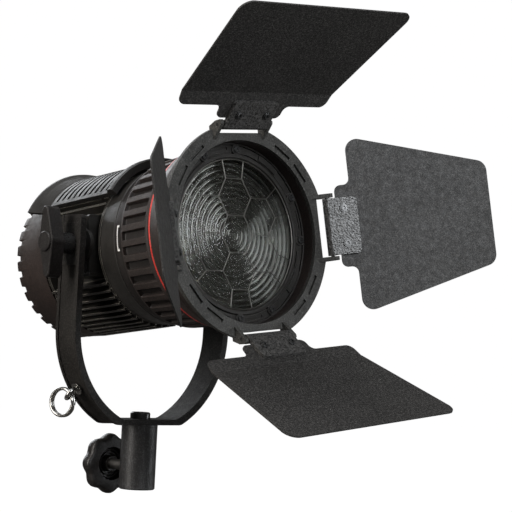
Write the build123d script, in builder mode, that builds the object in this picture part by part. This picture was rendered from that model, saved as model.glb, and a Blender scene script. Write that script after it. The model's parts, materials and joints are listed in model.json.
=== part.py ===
from build123d import *
import os
from math import asin, atan, cos, degrees, radians, sin, sqrt

# Focusing LED fresnel spotlight on a yoke, with four barn doors.
# Origin: centre of the stand receiver's lower mouth.  +Z up, the light shines towards -Y,
# and the tilt handle is on the left arm, at -X.

# ---- stand receiver and yoke
SPIGOT_BORE = 8.05
SPIGOT_DEPTH = 38.0
RECEIVER_R = 14.0
RECEIVER_HEIGHT = 50.2
YOKE_WIDTH = 25.0
YOKE_INSIDE = 71.0
ARM_THICKNESS = 5.3
BASE_THICKNESS = 4.4
BEND_OVERLAP = 6.9  # each bend's centre lies this far past the middle
ARM_STRAIGHT_Z = 123.0
ARM_TOP_Z = 208.0
PIVOT_Z = 186.0
LOCK_SCREW_Z = 17.0

# ---- head: stations along the optical axis, measured forward from the tilt pivot
TILT = 6.4
REAR_END = -93.0
COVER_FRONT = -55.6
FIN_REAR = -55.0
FIN_FRONT = 15.0
COLLAR_REAR = 15.5
RING_REAR = 35.8
RING_FRONT = 84.0
BARREL_REAR = 86.4
LENS_REAR = 96.0
BEZEL_REAR = 100.8
BARREL_FRONT = 113.9
FLANGE_REAR = 114.4
FLANGE_FRONT = 117.4

# ---- head: radii
CORE_INNER = 50.0
CORE_OUTER = 53.0
FIN_R = 61.5
GUIDE_TUBE_INNER = 55.0
GUIDE_TUBE_OUTER = 58.0
RING_BORE = 58.35
LENS_R = 60.2
MOUTH_R = 68.1
BEZEL_BORE = 57.0
JOURNAL_R = 71.7

# ---- barn doors
DOOR_TURN = 6.5
FLANGE_R = 80.3
FLANGE_FLAT = 73.4
PIN_RADIUS = 1.5
PIN_FROM_AXIS = 78.3
PIN_FORWARD = 123.6
SHEET = 1.2
BRACKET_HALF = 21.8
EAR_INSIDE = 22.6
EAR_THICKNESS = 3.0

# ---- LED carriage
CARRIAGE = 16.0
DRIVE_PIN = 49.0
FOCUS_BACK, FOCUS_FORWARD = 8.0, 30.0
DEGREES_PER_MM = 3.0

FIT = 0.05  # clearance between pieces fixed to each other
GAP = 0.3  # clearance between pieces that move on each other

# ---- frame of the tilted head
HEAD_FORWARD = Vector(0, -cos(radians(TILT)), sin(radians(TILT)))
HEAD_UP = Vector(0, sin(radians(TILT)), cos(radians(TILT)))
PIVOT = Vector(0, 0, PIVOT_Z)
HEAD_AXIS = Axis(PIVOT, HEAD_FORWARD)


def head_point(side, up, forward):
    """A point given in the head's own frame."""
    return PIVOT + Vector(side, 0, 0) + HEAD_UP * up + HEAD_FORWARD * forward


def head_plane(forward=0.0, side=0.0, up=0.0, turn=0.0):
    """Plane across the optical axis, facing forward, turned anticlockwise as seen from the front."""
    x_dir = Vector(cos(radians(turn)), 0, 0) + HEAD_UP * sin(radians(turn))
    return Plane(origin=head_point(side, up, forward), x_dir=x_dir, z_dir=HEAD_FORWARD)


def shifted(plane, along_x):
    """The same plane moved along its own x."""
    return Plane(origin=plane.origin + plane.x_dir * along_x, x_dir=plane.x_dir, z_dir=plane.z_dir)


def leaned(plane, angle):
    """The same plane turned about its own x."""
    z_dir = plane.z_dir * cos(radians(angle)) - plane.y_dir * sin(radians(angle))
    return Plane(origin=plane.origin, x_dir=plane.x_dir, z_dir=z_dir)


def side_plane(side, up=0.0, forward=0.0):
    """Plane facing +X at a distance from the optical axis; its x runs forward and its y down."""
    return Plane(origin=head_point(side, up, forward), x_dir=HEAD_FORWARD, z_dir=(1, 0, 0))


def radial_plane(angle):
    """Plane holding the optical axis; x is the radius at that angle from +X and y runs forward."""
    radius = Vector(cos(radians(angle)), 0, 0) + HEAD_UP * sin(radians(angle))
    return Plane(origin=PIVOT, x_dir=radius, z_dir=radius.cross(HEAD_FORWARD))


def outline(points, angle=0.0):
    """Closed radial profile of (radius, forward) points."""
    with BuildSketch(radial_plane(angle)) as profile:
        with BuildLine():
            Polyline(*points, close=True)
        make_face()
    return profile.sketch


def annulus(forward, outer, inner):
    with BuildSketch(head_plane(forward)) as ring:
        Circle(outer)
        Circle(inner, mode=Mode.SUBTRACT)
    return ring.sketch


def disc(plane, radius):
    with BuildSketch(plane) as round_face:
        Circle(radius)
    return round_face.sketch


def save(builder, name):
    builder.part.label = name
    export_step(builder.part, f"parts/{name}.step")


os.makedirs("parts", exist_ok=True)

# =====================================================================================
# Yoke and stand receiver
# =====================================================================================


def yoke_outline(inside, base_z, drop, rise):
    """U outline: straight arms that run into elliptic bends, which meet a flat base at a blunt corner."""
    turn = degrees(asin((ARM_STRAIGHT_Z - base_z) / rise))
    with BuildLine(Plane.XY) as line:
        Line((-inside, ARM_TOP_Z), (-inside, ARM_STRAIGHT_Z))
        left_bend = EllipticalCenterArc((BEND_OVERLAP, ARM_STRAIGHT_Z), drop, rise, 180, arc_size=turn)
        right_bend = EllipticalCenterArc((-BEND_OVERLAP, ARM_STRAIGHT_Z), drop, rise, 360 - turn, arc_size=turn)
        Line(left_bend @ 1, right_bend @ 0)
        Line((inside, ARM_STRAIGHT_Z), (inside, ARM_TOP_Z))
        Line((inside, ARM_TOP_Z), (-inside, ARM_TOP_Z))
    return line.line


YOKE_OUTSIDE = YOKE_INSIDE + ARM_THICKNESS
BASE_TOP = RECEIVER_HEIGHT + BASE_THICKNESS
INNER_DROP, INNER_RISE = YOKE_INSIDE + BEND_OVERLAP, 75.6
OUTER_DROP, OUTER_RISE = YOKE_OUTSIDE + BEND_OVERLAP, 82.0
BASE_CORNER = 9.0  # radius that eases the corners between base and bends
GROOVE_DEPTH = 0.9
BORDER = 3.0
EYE_ANGLE = 56.0  # place of the safety eye on the arm's outer curve, from straight down
EYE_ROOT = Vector(
    BEND_OVERLAP - OUTER_DROP * sin(radians(EYE_ANGLE)), 0,
    ARM_STRAIGHT_Z - OUTER_RISE * cos(radians(EYE_ANGLE)))
EYE_OUT = Vector(-sin(radians(EYE_ANGLE)) / OUTER_DROP, 0,
                 -cos(radians(EYE_ANGLE)) / OUTER_RISE).normalized()

with BuildPart() as yoke:
    with BuildSketch(Plane.XZ) as u_shape:
        make_face(yoke_outline(YOKE_OUTSIDE, RECEIVER_HEIGHT, OUTER_DROP, OUTER_RISE))
        make_face(yoke_outline(YOKE_INSIDE, BASE_TOP, INNER_DROP, INNER_RISE), mode=Mode.SUBTRACT)
        fillet(u_shape.vertices().filter_by(lambda v: RECEIVER_HEIGHT - 1 < v.Y < BASE_TOP + 1), BASE_CORNER)
    extrude(amount=YOKE_WIDTH / 2, both=True)
    # shallow channel along the outer face, between two raised borders
    with BuildSketch(Plane.XZ):
        make_face(yoke_outline(YOKE_OUTSIDE, RECEIVER_HEIGHT, OUTER_DROP, OUTER_RISE))
        make_face(
            yoke_outline(YOKE_OUTSIDE - GROOVE_DEPTH, RECEIVER_HEIGHT + GROOVE_DEPTH,
                         OUTER_DROP - GROOVE_DEPTH, OUTER_RISE - GROOVE_DEPTH),
            mode=Mode.SUBTRACT)
        with Locations((0, RECEIVER_HEIGHT)):
            Rectangle(2 * RECEIVER_R + 8, 12, mode=Mode.SUBTRACT)
        with Locations((-YOKE_OUTSIDE, PIVOT_Z), (YOKE_OUTSIDE, PIVOT_Z)):
            Rectangle(8, 32, mode=Mode.SUBTRACT)
    extrude(amount=YOKE_WIDTH / 2 - BORDER, both=True, mode=Mode.SUBTRACT)
    # pivot holes, base bolt hole and the hole for the safety eye
    with Locations(Location(PIVOT, (0, 90, 0))):
        Cylinder(4.3, 2 * YOKE_OUTSIDE + 10, mode=Mode.SUBTRACT)
    with Locations((0, 0, RECEIVER_HEIGHT)):
        Cylinder(4.1, 20, mode=Mode.SUBTRACT)
    with Locations(Plane(origin=EYE_ROOT, z_dir=EYE_OUT).location):
        Cylinder(2.55, 16, mode=Mode.SUBTRACT)
    # rounded corners at the arm tops
    fillet(yoke.edges().filter_by(Axis.X).group_by(Axis.Z)[-1].filter_by(lambda edge: edge.length > 4), 3.0)
save(yoke, "yoke")

with BuildPart() as stand_receiver:
    with BuildSketch(Plane.XY):
        Circle(RECEIVER_R)
    extrude(amount=RECEIVER_HEIGHT - FIT)
    chamfer(stand_receiver.edges().group_by(Axis.Z)[0], 0.8)
    with BuildSketch(Plane.XY):
        Circle(SPIGOT_BORE)
    extrude(amount=SPIGOT_DEPTH, mode=Mode.SUBTRACT)
    with BuildSketch(Plane.XY.offset(SPIGOT_DEPTH)):
        Circle(4.1)
    extrude(amount=RECEIVER_HEIGHT, mode=Mode.SUBTRACT)
    # threaded hole for the lock screw
    with BuildSketch(Plane.XZ.offset(-RECEIVER_R - 1)) as screw_hole:
        with Locations((0, LOCK_SCREW_Z)):
            Circle(4.05)
    extrude(amount=RECEIVER_R + 1, mode=Mode.SUBTRACT)
save(stand_receiver, "stand_receiver")

with BuildPart() as base_bolt:
    with BuildSketch(Plane.XY.offset(BASE_TOP + FIT)):
        Circle(7.8)
    extrude(amount=5.2)
    fillet(base_bolt.edges().group_by(Axis.Z)[-1], 1.4)
    with BuildSketch(Plane.XY.offset(BASE_TOP + 5.3)):
        RegularPolygon(3.0, 6)
    extrude(amount=-3.2, mode=Mode.SUBTRACT)
    with BuildSketch(Plane.XY.offset(SPIGOT_DEPTH + 1)):
        Circle(4.0)
    extrude(amount=BASE_TOP + 1 - SPIGOT_DEPTH - 1)
save(base_bolt, "base_bolt")

# ---- receiver lock knob: eight lobes, hollow towards the receiver, on an M8 screw
KNOB_NEAR, KNOB_FAR = 32.0, 42.5
KNOB_R, LOBE_R = 19.2, 4.6

with BuildPart() as lock_knob:
    with BuildSketch(Plane.XZ.offset(-KNOB_NEAR)):
        with Locations((0, LOCK_SCREW_Z)):
            Circle(KNOB_R + 2.2)
            with PolarLocations(KNOB_R, 8):
                Circle(LOBE_R)
    extrude(amount=-(KNOB_FAR - KNOB_NEAR))
    chamfer(lock_knob.faces().sort_by(Axis.Y)[0].outer_wire().edges(), 0.8)
    chamfer(lock_knob.faces().sort_by(Axis.Y)[-1].outer_wire().edges(), 1.2)
    with BuildSketch(Plane.XZ.offset(-KNOB_NEAR)):
        with Locations((0, LOCK_SCREW_Z)):
            Circle(13.0)
            Circle(6.2, mode=Mode.SUBTRACT)
    extrude(amount=-6.5, mode=Mode.SUBTRACT)
    with BuildSketch(Plane.XZ.offset(-KNOB_NEAR - 6.5)):
        with Locations((0, LOCK_SCREW_Z)):
            for radius in (11.6, 9.0):
                Circle(radius)
                Circle(radius - 1.1, mode=Mode.SUBTRACT)
    extrude(amount=2.0)
    with BuildSketch(Plane.XZ.offset(-KNOB_NEAR + 1)):
        with Locations((0, LOCK_SCREW_Z)):
            Circle(4.0 + FIT)
    extrude(amount=-9.0, mode=Mode.SUBTRACT)
save(lock_knob, "lock_knob")

with BuildPart() as lock_screw:
    with BuildSketch(Plane.XZ.offset(-SPIGOT_BORE - 0.6)):
        with Locations((0, LOCK_SCREW_Z)):
            Circle(4.0)
    extrude(amount=-(KNOB_NEAR + 6.5 - SPIGOT_BORE))
    chamfer(lock_screw.edges().group_by(Axis.Y)[0], 0.8)
save(lock_screw, "lock_screw")

# ---- safety eye on the left arm, and the split ring that hangs in it
EYE_LOOP, EYE_WIRE = 4.9, 1.4
EYE_STANDOFF = 7.2
EYE_CENTRE = EYE_ROOT + EYE_OUT * EYE_STANDOFF
RING_LOOP, RING_WIRE = 10.4, 1.95
RING_NORMAL = Vector(-sin(radians(75)), -cos(radians(75)), 0)
RING_HANG = Vector(-2.2, 8.3, -7.6)
RING_HANG = (RING_HANG - RING_NORMAL * RING_HANG.dot(RING_NORMAL)).normalized() * RING_LOOP
WIRE_RUN = RING_NORMAL.cross(RING_HANG).normalized()
EYE_HOLE = (WIRE_RUN - EYE_OUT * WIRE_RUN.dot(EYE_OUT)).normalized()

with BuildPart() as eye_bolt:
    with Locations(Plane(origin=EYE_CENTRE, z_dir=EYE_HOLE).location):
        Torus(EYE_LOOP, EYE_WIRE)
    with BuildSketch(Plane(origin=EYE_ROOT + EYE_OUT * 0.1, z_dir=EYE_OUT)):
        Circle(5.0)
    extrude(amount=1.1)
    with BuildSketch(Plane(origin=EYE_ROOT - EYE_OUT * (ARM_THICKNESS + 5), z_dir=EYE_OUT)):
        Circle(2.5)
    extrude(amount=ARM_THICKNESS + 6.8)
    with BuildSketch(Plane(origin=EYE_ROOT - EYE_OUT * (ARM_THICKNESS + 4.2), z_dir=EYE_OUT)):
        RegularPolygon(4.6, 6)
    extrude(amount=3.6)
save(eye_bolt, "eye_bolt")

with BuildPart() as safety_ring:
    with Locations(Plane(origin=EYE_CENTRE + RING_HANG, z_dir=RING_NORMAL).location):
        Torus(RING_LOOP, RING_WIRE)
save(safety_ring, "safety_ring")

# =====================================================================================
# Head body: finned housing, pivot blocks, covers
# =====================================================================================
FIN_PITCH = 6.0
FIN_THICKNESS = 1.8
FIN_ARC = (-216.0, 36.0)  # the top cover spans the rest
BLOCK_HALF_HEIGHT = 22.5
BLOCK_HALF_WIDTH = 8.0
BLOCK_SIDE = 64.0
LEDGE = 0.9
DISC_OUTSIDE = YOKE_INSIDE - GAP


def fin_angles():
    """Angles of the cooling fins, leaving out those where the pivot blocks stand."""
    count = int((FIN_ARC[1] - FIN_ARC[0]) / FIN_PITCH) + 1
    for angle in (FIN_ARC[0] + FIN_PITCH * i for i in range(count)):
        height = abs(FIN_R * sin(radians(angle)))
        if height > BLOCK_HALF_HEIGHT + 3.5:
            yield angle


with BuildPart() as body_shell:
    extrude(annulus(FIN_REAR, CORE_OUTER, CORE_INNER), amount=FIN_FRONT - FIN_REAR)
    extrude(annulus(FIN_REAR, FIN_R - 1.0, CORE_INNER), amount=2.5)
    extrude(annulus(FIN_FRONT - 2.5, FIN_R - 2.2, CORE_INNER), amount=2.5)
    with BuildSketch(head_plane(FIN_REAR)) as fins:
        for fin_angle in fin_angles():
            with Locations(Rotation(0, 0, fin_angle)):
                with Locations(((CORE_OUTER - 0.5 + FIN_R) / 2, 0)):
                    Rectangle(FIN_R - CORE_OUTER + 0.5, FIN_THICKNESS)
    extrude(amount=FIN_FRONT - 0.3 - FIN_REAR)
    # clear the seats of the pivot blocks through both end flanges
    for block_side in (-1, 1):
        with Locations(head_plane(0, side=block_side * (CORE_OUTER + 8)).location):
            Box(16, 2 * BLOCK_HALF_HEIGHT + 6.4, 2 * BLOCK_HALF_WIDTH + 2.4, mode=Mode.SUBTRACT)
    # bores for the tilt screws
    with Locations(side_plane(0).location):
        Cylinder(4.05, 2 * CORE_OUTER + 4, mode=Mode.SUBTRACT)
save(body_shell, "body_shell")


def pivot_block(side):
    """Casting that carries the tilt pivot on one side of the head; side is -1 or 1."""
    with BuildPart() as casting:
        with BuildSketch(head_plane(-BLOCK_HALF_WIDTH, side=side * (CORE_OUTER - 7 + BLOCK_SIDE) / 2)):
            Rectangle(BLOCK_SIDE - CORE_OUTER + 7, 2 * BLOCK_HALF_HEIGHT)
        extrude(amount=2 * BLOCK_HALF_WIDTH)
        chamfer(casting.edges().filter_by(Plane(PIVOT, z_dir=(1, 0, 0)))
                .group_by(Axis.X)[-1 if side > 0 else 0], 1.2)
        # lower ledge
        ledge_side = side * (CORE_OUTER - 7 + BLOCK_SIDE + LEDGE) / 2
        with BuildSketch(head_plane(-BLOCK_HALF_WIDTH - LEDGE, ledge_side, -BLOCK_HALF_HEIGHT - LEDGE)):
            Rectangle(BLOCK_SIDE - CORE_OUTER + 7 + LEDGE, 2.4)
        extrude(amount=2 * BLOCK_HALF_WIDTH + 2 * LEDGE)
        # groove beside the front edge
        with BuildSketch(head_plane(3.6, side=side * BLOCK_SIDE)):
            Rectangle(2.4, 2 * BLOCK_HALF_HEIGHT + 1)
        extrude(amount=1.4, mode=Mode.SUBTRACT)
        # raised boss behind the friction disc
        with Locations(side_plane(side * (BLOCK_SIDE + 0.5)).location):
            Cylinder(12.5, 3.0)
        extrude(disc(head_plane(-40), CORE_OUTER + FIT), amount=80, mode=Mode.SUBTRACT)
        with Locations(side_plane(0).location):
            Cylinder(4.05, 2 * YOKE_OUTSIDE, mode=Mode.SUBTRACT)
    return casting


save(pivot_block(-1), "pivot_block_left")
save(pivot_block(1), "pivot_block_right")

DISC_INSIDE = BLOCK_SIDE + 2.0 + FIT
DISC_R = 6.5
with BuildPart() as friction_discs:
    for disc_side in (-1, 1):
        with Locations(side_plane(disc_side * (DISC_INSIDE + DISC_OUTSIDE) / 2).location):
            Cylinder(DISC_R, DISC_OUTSIDE - DISC_INSIDE)
            Cylinder(4.1, 10, mode=Mode.SUBTRACT)
save(friction_discs, "friction_discs")

with BuildPart() as pivot_bolt:
    with Locations(side_plane((YOKE_OUTSIDE + GAP + 54) / 2).location):
        Cylinder(4.0, YOKE_OUTSIDE + GAP - 54)
    with Locations(side_plane(YOKE_OUTSIDE + GAP + 2.2).location):
        Cylinder(7.5, 4.4)
    fillet(pivot_bolt.edges().group_by(Axis.X)[-1], 1.5)
    with BuildSketch(side_plane(YOKE_OUTSIDE + GAP + 4.4)):
        RegularPolygon(2.9, 6)
    extrude(amount=-2.8, mode=Mode.SUBTRACT)
save(pivot_bolt, "pivot_bolt")

# ---- arched top cover with a raised rear hood and cross vents
ARCH_START, ARCH_SPAN = 34.7, 110.6
HOOD_START, HOOD_SPAN = 29.5, 121.0
ARCH_R, ARCH_BORE = 66.5, 63.2
HOOD_R, HOOD_REAR = 71.7, -74.5
LIP_R, LIP_FRONT = 69.6, 27.0
VENTS, VENT_PITCH, VENT_FIRST, VENT_WIDTH = 10, 7.0, -48.0, 3.2
VENT_START, VENT_SPAN = 37.8, 47.0

with BuildPart() as top_cover:
    revolve(outline([
        (ARCH_BORE, LIP_FRONT), (LIP_R - 1.0, LIP_FRONT), (LIP_R, LIP_FRONT - 1.2), (LIP_R, LIP_FRONT - 5),
        (ARCH_R, LIP_FRONT - 8), (ARCH_R, -54), (ARCH_BORE, -54)], ARCH_START),
        axis=HEAD_AXIS, revolution_arc=ARCH_SPAN)
    # the hood flares in a hollow curve and wraps further round than the arch
    revolve(outline([
        (ARCH_R - 0.5, -53.0), (ARCH_R - 0.5, -54.6), (ARCH_R + 0.3, -57), (ARCH_R + 1.5, -62),
        (ARCH_R + 3.1, -68), (HOOD_R - 0.3, -72.5), (HOOD_R, HOOD_REAR), (HOOD_R - 2.5, HOOD_REAR),
        (HOOD_R - 4.6, -68), (ARCH_BORE + 1.6, -62), (ARCH_BORE + 0.6, -57), (ARCH_BORE + 0.6, -53.0)],
        HOOD_START), axis=HEAD_AXIS, revolution_arc=HOOD_SPAN)
    for rib in (-50.0, 8.0):
        revolve(outline([(FIN_R + FIT, rib - 1), (FIN_R + FIT, rib + 1), (ARCH_BORE + 0.5, rib + 1),
                         (ARCH_BORE + 0.5, rib - 1)], ARCH_START), axis=HEAD_AXIS, revolution_arc=ARCH_SPAN)
    for vent in range(VENTS):
        station = VENT_FIRST + VENT_PITCH * vent
        for start in (VENT_START, 180 - VENT_START - VENT_SPAN):
            revolve(outline([
                (FIN_R - 1, station - VENT_WIDTH / 2), (ARCH_R + 5, station - VENT_WIDTH / 2),
                (ARCH_R + 5, station + VENT_WIDTH / 2), (FIN_R - 1, station + VENT_WIDTH / 2)], start),
                axis=HEAD_AXIS, revolution_arc=VENT_SPAN, mode=Mode.SUBTRACT)
save(top_cover, "top_cover")

# ---- rear cover: drum with a castellated rear rim, and the panel set into it
NOTCHES = 30
PANEL_REAR, PANEL_FRONT, PANEL_R = -88.5, -86.0, 56.2
KNOB_AT = (20.0, 12.0)
SWITCH_AT = (-22.0, 14.0)
INLET_AT = (0.0, -26.0)
SWITCH_W, SWITCH_H = 13.0, 19.0

with BuildPart() as rear_cover:
    revolve(outline([
        (FIN_R, COVER_FRONT), (FIN_R, -66), (60.4, -88), (58.6, REAR_END), (55.2, REAR_END),
        (56.3, PANEL_REAR - 0.5), (56.3, PANEL_FRONT + 0.05), (55.0, PANEL_FRONT + 0.1),
        (58.2, PANEL_FRONT + 4), (58.8, COVER_FRONT)]), axis=HEAD_AXIS)
    with BuildSketch(head_plane(REAR_END - 0.5)):
        with PolarLocations(59.2, NOTCHES):
            Rectangle(4.8, 4.6)
    extrude(amount=4.2, mode=Mode.SUBTRACT)
save(rear_cover, "rear_cover")

with BuildPart() as rear_panel:
    extrude(disc(head_plane(PANEL_REAR), PANEL_R), amount=PANEL_FRONT - PANEL_REAR)
    with BuildSketch(head_plane(PANEL_REAR - 1)):
        with Locations(KNOB_AT):
            Circle(3.2)
        with Locations(SWITCH_AT):
            Rectangle(SWITCH_W + 0.2, SWITCH_H + 0.2)
        with Locations(INLET_AT):
            Circle(10.1)
        # exhaust slots round the rim
        for slot_angle in range(30, 151, 12):
            with Locations(Rotation(0, 0, slot_angle)):
                with Locations((45, 0)):
                    SlotOverall(14, 3.2)
        for slot_angle in (-160, -148, -32, -20):
            with Locations(Rotation(0, 0, slot_angle)):
                with Locations((45, 0)):
                    SlotOverall(14, 3.2)
    extrude(amount=5, mode=Mode.SUBTRACT)
save(rear_panel, "rear_panel")

with BuildPart() as power_inlet:
    extrude(disc(head_plane(PANEL_FRONT + 8, *INLET_AT), 10.0), amount=-(8 + PANEL_FRONT - PANEL_REAR + 1.5))
    extrude(disc(head_plane(PANEL_REAR - 0.05, *INLET_AT), 12.5), amount=-2.0)
    extrude(disc(head_plane(PANEL_REAR - 3, *INLET_AT), 8.2), amount=12, mode=Mode.SUBTRACT)
    with BuildSketch(head_plane(PANEL_REAR + 3.5, *INLET_AT)):
        with PolarLocations(4.2, 4, start_angle=45):
            Circle(1.1)
    extrude(amount=6)
save(power_inlet, "power_inlet")

with BuildPart() as dimmer_knob:
    extrude(disc(head_plane(PANEL_REAR - 0.4, *KNOB_AT), 11.0), amount=-13)
    chamfer(dimmer_knob.edges().filter_by(GeomType.CIRCLE).sort_by(Axis.Y)[-1], 1.2)
    with BuildSketch(head_plane(PANEL_REAR - 3, *KNOB_AT)):
        with PolarLocations(11.2, 24):
            Circle(0.8)
    extrude(amount=-12, mode=Mode.SUBTRACT)
    extrude(disc(head_plane(PANEL_FRONT + 6, *KNOB_AT), 3.0), amount=-12)
    # pointer groove
    with BuildSketch(head_plane(PANEL_REAR - 13.9, KNOB_AT[0], KNOB_AT[1])):
        with Locations((0, 7)):
            Rectangle(1.6, 9)
    extrude(amount=1.4, mode=Mode.SUBTRACT)
save(dimmer_knob, "dimmer_knob")

with BuildPart() as switch_bezel:
    with BuildSketch(head_plane(PANEL_FRONT + 6, *SWITCH_AT)):
        Rectangle(SWITCH_W, SWITCH_H)
        Rectangle(SWITCH_W - 2, SWITCH_H - 2, mode=Mode.SUBTRACT)
    extrude(amount=-(6 + PANEL_FRONT - PANEL_REAR + 0.5))
    with BuildSketch(head_plane(PANEL_REAR - 0.05, *SWITCH_AT)):
        Rectangle(SWITCH_W + 3, SWITCH_H + 3)
        Rectangle(SWITCH_W - 2, SWITCH_H - 2, mode=Mode.SUBTRACT)
    extrude(amount=-1.6)
save(switch_bezel, "switch_bezel")

ROCKER_TILT = 7.0
ROCKER_PIVOT = PANEL_REAR + 2.5
rocker_up = HEAD_UP * cos(radians(ROCKER_TILT)) + HEAD_FORWARD * sin(radians(ROCKER_TILT))
with BuildPart() as power_rocker:
    with BuildSketch(Plane(origin=head_point(*SWITCH_AT, ROCKER_PIVOT), x_dir=rocker_up, z_dir=(1, 0, 0))):
        # shallow V, tipped so that its lower half stands out
        with BuildLine():
            Polyline((-7.4, -4.6), (0, -3.2), (7.4, -4.6), (7.0, 2.6), (-7.0, 2.6), close=True)
        make_face()
    extrude(amount=(SWITCH_W - 2) / 2 - GAP, both=True)
save(power_rocker, "power_rocker")

# ---- driver board behind the bulkhead
BOARD_STATION = -66.0
with BuildPart() as driver_board:
    with BuildSketch(head_plane(BOARD_STATION)):
        RectangleRounded(76, 52, 3)
        with GridLocations(66, 42, 2, 2):
            Circle(1.7, mode=Mode.SUBTRACT)
    extrude(amount=1.6)
save(driver_board, "driver_board")

with BuildPart() as board_parts:
    top_face = head_plane(BOARD_STATION + 1.65)
    with BuildSketch(top_face):
        with Locations((-24, 8), (-10, 8)):
            Circle(5)
    extrude(amount=7)
    with BuildSketch(top_face):
        with Locations((12, 6)):
            RectangleRounded(20, 18, 2)
    extrude(amount=6)
    with BuildSketch(top_face):
        with Locations((-16, -14), (2, -14), (20, -14)):
            Rectangle(9, 7)
    extrude(amount=3)
save(board_parts, "board_parts")

BULKHEAD_REAR = -53.0
ROD_SIDE, ROD_R = 41.0, 3.0
ROD_FRONT = 93.3

with BuildPart() as rear_bulkhead:
    with BuildSketch(head_plane(BULKHEAD_REAR)):
        Circle(CORE_INNER - FIT)
        with Locations((-ROD_SIDE, 0), (ROD_SIDE, 0)):
            Circle(ROD_R + FIT, mode=Mode.SUBTRACT)
        with PolarLocations(20, 8):
            SlotOverall(20, 5, mode=Mode.SUBTRACT)
    extrude(amount=3)
save(rear_bulkhead, "rear_bulkhead")

with BuildPart() as guide_rods:
    with BuildSketch(head_plane(BULKHEAD_REAR)):
        with Locations((-ROD_SIDE, 0), (ROD_SIDE, 0)):
            Circle(ROD_R)
    extrude(amount=ROD_FRONT - BULKHEAD_REAR)
save(guide_rods, "guide_rods")

# =====================================================================================
# Barrel, focus ring, lens and bezel
# =====================================================================================
SLOT_HALF = 2.3
PIN_ANGLE = -90.0
PIN_R = 2.0

with BuildPart() as guide_tube:
    extrude(annulus(COLLAR_REAR, GUIDE_TUBE_OUTER, GUIDE_TUBE_INNER), amount=93.3 - COLLAR_REAR)
    # front web that carries the guide rods
    with BuildSketch(head_plane(90.3)):
        for web_side in (-1, 1):
            with Locations((web_side * 47.5, 0)):
                Rectangle(17, 12)
        with Locations((-ROD_SIDE, 0), (ROD_SIDE, 0)):
            Circle(ROD_R + FIT, mode=Mode.SUBTRACT)
    extrude(amount=3)
    # straight slot for the drive pin
    slot_rear, slot_front = DRIVE_PIN - FOCUS_BACK - 3, DRIVE_PIN + FOCUS_FORWARD + 3
    with Locations(head_plane((slot_rear + slot_front) / 2, up=-(GUIDE_TUBE_OUTER - 1)).location):
        Box(2 * SLOT_HALF, 10, slot_front - slot_rear, mode=Mode.SUBTRACT)
save(guide_tube, "guide_tube")

with BuildPart() as rear_collar:
    revolve(outline([
        (GUIDE_TUBE_OUTER + FIT, COLLAR_REAR), (58.6, COLLAR_REAR), (59.6, COLLAR_REAR + 0.8),
        (59.8, COLLAR_REAR + 4), (61.2, RING_REAR - 5), (61.6, RING_REAR - 0.9),
        (61.2, RING_REAR - GAP - 0.1), (GUIDE_TUBE_OUTER + FIT, RING_REAR - GAP - 0.1)]), axis=HEAD_AXIS)
save(rear_collar, "rear_collar")

POCKETS = 36
POCKET_REAR, POCKET_FRONT = 49.5, 77.0
POCKET_FLOOR = 63.4

with BuildPart() as focus_ring:
    revolve(outline([
        (RING_BORE, RING_REAR), (61.3, RING_REAR), (61.8, RING_REAR + 0.8), (62.3, 44.0),
        (64.6, 47.0), (65.0, 49.0), (66.3, 78.5), (66.0, 80.5), (66.4, RING_FRONT - 1.0),
        (66.0, RING_FRONT), (RING_BORE, RING_FRONT)]), axis=HEAD_AXIS)
    # lengthwise finger pockets
    with BuildSketch(head_plane(POCKET_REAR)):
        with PolarLocations(POCKET_FLOOR + 4, POCKETS):
            Rectangle(8, 5.4)
    extrude(amount=POCKET_FRONT - POCKET_REAR, mode=Mode.SUBTRACT)
    # helical groove that drives the carriage pin
    steps = 15
    for step in range(steps):
        travel = -FOCUS_BACK + step * (FOCUS_BACK + FOCUS_FORWARD) / (steps - 1)
        turn = travel * DEGREES_PER_MM
        rise = DRIVE_PIN + travel
        slope = degrees(atan(1 / (DEGREES_PER_MM * radians(1) * 59.5)))
        groove_plane = shifted(head_plane(rise, turn=PIN_ANGLE - turn), 59.3)
        with Locations(leaned(groove_plane, -slope).location):
            Box(3.0, 14.0, 2 * SLOT_HALF, mode=Mode.SUBTRACT)
save(focus_ring, "focus_ring")

MARK_ANGLE = 180.0
MARK_LINE = (40.0, 1.0, MARK_ANGLE - 9, 18.0)
MARK_ENDS = [(41.2, 1.6, MARK_ANGLE + end, 1.6) for end in (-9, 7.4)]
with BuildPart() as focus_mark:
    for mark_station, mark_width, mark_start, mark_arc in [MARK_LINE] + MARK_ENDS:
        floor = 61.8 + (mark_station - 36.6) * 0.5 / 7.4 + 0.05
        revolve(outline([
            (floor, mark_station - mark_width / 2), (floor + 0.35, mark_station - mark_width / 2),
            (floor + 0.35, mark_station + mark_width / 2), (floor, mark_station + mark_width / 2)],
            mark_start), axis=HEAD_AXIS, revolution_arc=mark_arc)
save(focus_mark, "focus_mark")

with BuildPart() as accent_ring:
    revolve(outline([
        (GUIDE_TUBE_OUTER + FIT, RING_FRONT + GAP), (68.5, RING_FRONT + GAP), (68.9, RING_FRONT + GAP + 0.4),
        (68.9, BARREL_REAR - 0.5), (68.5, BARREL_REAR - FIT), (GUIDE_TUBE_OUTER + FIT, BARREL_REAR - FIT)]),
        axis=HEAD_AXIS)
save(accent_ring, "accent_ring")

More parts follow.
